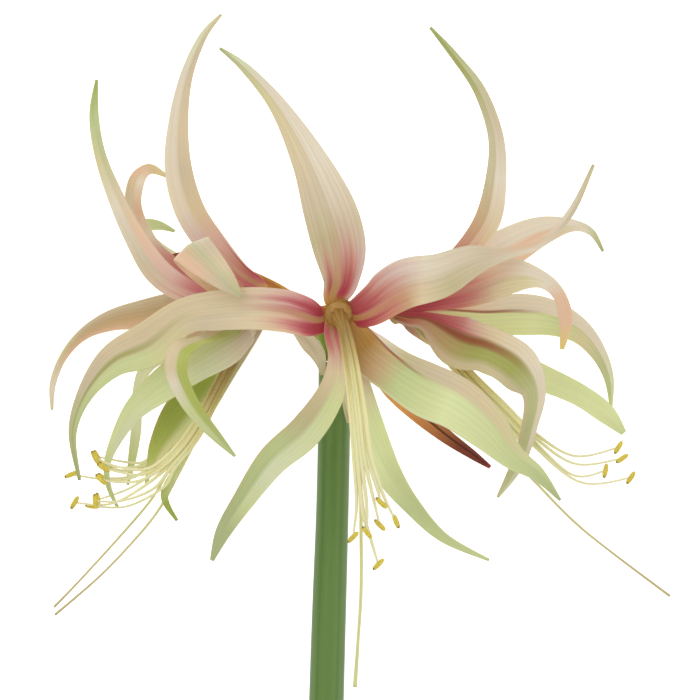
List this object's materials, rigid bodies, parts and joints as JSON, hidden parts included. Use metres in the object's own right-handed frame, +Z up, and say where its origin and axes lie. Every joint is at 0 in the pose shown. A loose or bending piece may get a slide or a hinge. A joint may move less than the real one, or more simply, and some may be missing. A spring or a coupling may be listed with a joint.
{
  "type": "amaryllis stem",
  "caption": "Cut amaryllis stem lying down, with an umbel of open spider-shaped blooms in cream, crimson and green, long stamens and styles, and a dry sheath.",
  "frame": {"origin": "on the surface that the stem lies on, under the middle of the whole flower", "axes": "+Y along the stem from its cut end towards the blooms, +X to the right of someone who looks at the lying flower from above with the cut end nearest, +Z up, towards the front bloom"},
  "size_m": [0.261, 0.544, 0.145],
  "materials": {
    "petal_cream": "satin petal, cream with fine veins and a crimson root",
    "petal_blush": "satin petal, peach pink",
    "petal_green": "satin petal, light green",
    "stem_green": "smooth waxy green skin with faint long bands",
    "stalk_green": "smooth waxy light green skin",
    "sheath_brown": "dry papery sheath, orange to brown",
    "bract_paper": "thin pale papery bract",
    "stamen_yellow": "matt pale yellow filaments with golden anthers",
    "style_green": "smooth pale yellow green"
  },
  "bodies": {
    "root": {"back_petal_curl": "petal_blush", "back_petal_far": "petal_green", "back_petal_hidden": "petal_green", "back_petal_left": "petal_cream", "back_petal_low": "petal_green", "back_petal_up": "petal_cream", "back_stalk_and_ovary": "stalk_green", "back_stamens": "stamen_yellow", "back_style": "style_green", "bract_left": "bract_paper", "bract_right": "bract_paper", "front_petal_down": "petal_green", "front_petal_left": "petal_cream", "front_petal_low_left": "petal_cream", "front_petal_low_right": "petal_cream", "front_petal_right": "petal_cream", "front_petal_up": "petal_cream", "front_stalk_and_ovary": "stalk_green", "front_stamens": "stamen_yellow", "front_style": "style_green", "left_petal_broad": "petal_green", "left_petal_claw": "petal_cream", "left_petal_down": "petal_green", "left_petal_narrow": "petal_cream", "left_petal_near": "petal_blush", "left_petal_up": "petal_cream", "left_stalk_and_ovary": "stalk_green", "left_stamens": "stamen_yellow", "left_style": "style_green", "right_petal_back": "petal_blush", "right_petal_claw": "petal_cream", "right_petal_low": "petal_green", "right_petal_middle": "petal_cream", "right_petal_near": "petal_blush", "right_petal_up": "petal_cream", "right_stalk_and_ovary": "stalk_green", "right_stamens": "stamen_yellow", "right_style": "style_green", "sheath_left": "sheath_brown", "sheath_right": "sheath_brown", "stem": "stem_green"}
  },
  "joints": []
}
